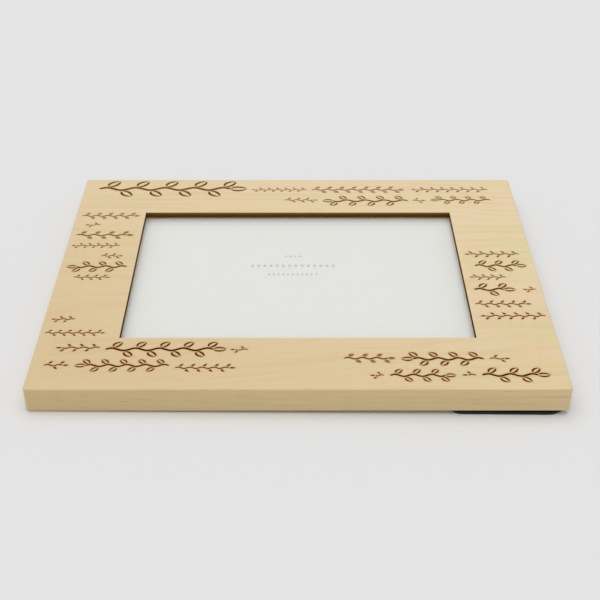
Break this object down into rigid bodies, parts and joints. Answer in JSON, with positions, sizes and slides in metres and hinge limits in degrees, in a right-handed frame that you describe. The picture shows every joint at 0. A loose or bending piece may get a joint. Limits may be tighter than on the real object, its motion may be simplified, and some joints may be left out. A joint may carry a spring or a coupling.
{
  "type": "photo frame",
  "caption": "Flat wooden table photo frame with an engraved front, a glazed window, a backing held by turn buttons and a hinged easel leg.",
  "frame": {"origin": "on the table under the middle of the frame, which lies on its back", "axes": "+X along the frame's long side, +Y up the picture, +Z out of the frame's face"},
  "size_m": [0.2414, 0.1906, 0.0151],
  "materials": {
    "wood": "pale close-grained hardwood, fine sanded, thin satin coat",
    "glass": "clear float glass",
    "insert_paper": "smooth white paper",
    "black_board": "black-faced board, matt",
    "plated_steel": "nickel-plated pressed steel",
    "button_brass": "brass-plated, slightly dull"
  },
  "bodies": {
    "frame": {"frame_board": "wood", "glass_pane": "glass", "photo_insert": "insert_paper", "backing_board": "black_board", "hinge_board_leaf": "plated_steel", "hinge_pin": "plated_steel", "hinge_board_rivet_1": "plated_steel", "hinge_board_rivet_2": "plated_steel", "hinge_board_rivet_3": "plated_steel", "turn_button_screw_top": "button_brass", "turn_button_screw_bottom": "button_brass", "turn_button_screw_left": "button_brass", "turn_button_screw_right": "button_brass"},
    "easel": {"easel_leg": "black_board", "hinge_leg_leaf": "plated_steel", "hinge_leg_rivet_1": "plated_steel", "hinge_leg_rivet_2": "plated_steel", "hinge_leg_rivet_3": "plated_steel"},
    "turn_button_top": {"turn_button_top": "button_brass"},
    "turn_button_bottom": {"turn_button_bottom": "button_brass"},
    "turn_button_left": {"turn_button_left": "button_brass"},
    "turn_button_right": {"turn_button_right": "button_brass"}
  },
  "joints": [
    {"name": "easel_hinge", "type": "hinge", "parent": "frame", "child": "easel", "pos_m": [0.01418, 0.01122, 0.00468], "axis": [0.7071, 0.7071, 0], "range_deg": [0, 35]},
    {"name": "turn_button_top_swivel", "type": "hinge", "parent": "frame", "child": "turn_button_top", "pos_m": [0, 0.072, 0.00517], "axis": [0, 0, 1], "range_deg": [-90, 90]},
    {"name": "turn_button_bottom_swivel", "type": "hinge", "parent": "frame", "child": "turn_button_bottom", "pos_m": [0, -0.072, 0.00517], "axis": [0, 0, 1], "range_deg": [-90, 90]},
    {"name": "turn_button_left_swivel", "type": "hinge", "parent": "frame", "child": "turn_button_left", "pos_m": [-0.0974, 0, 0.00517], "axis": [0, 0, 1], "range_deg": [-90, 90]},
    {"name": "turn_button_right_swivel", "type": "hinge", "parent": "frame", "child": "turn_button_right", "pos_m": [0.0974, 0, 0.00517], "axis": [0, 0, 1], "range_deg": [-90, 90]}
  ]
}
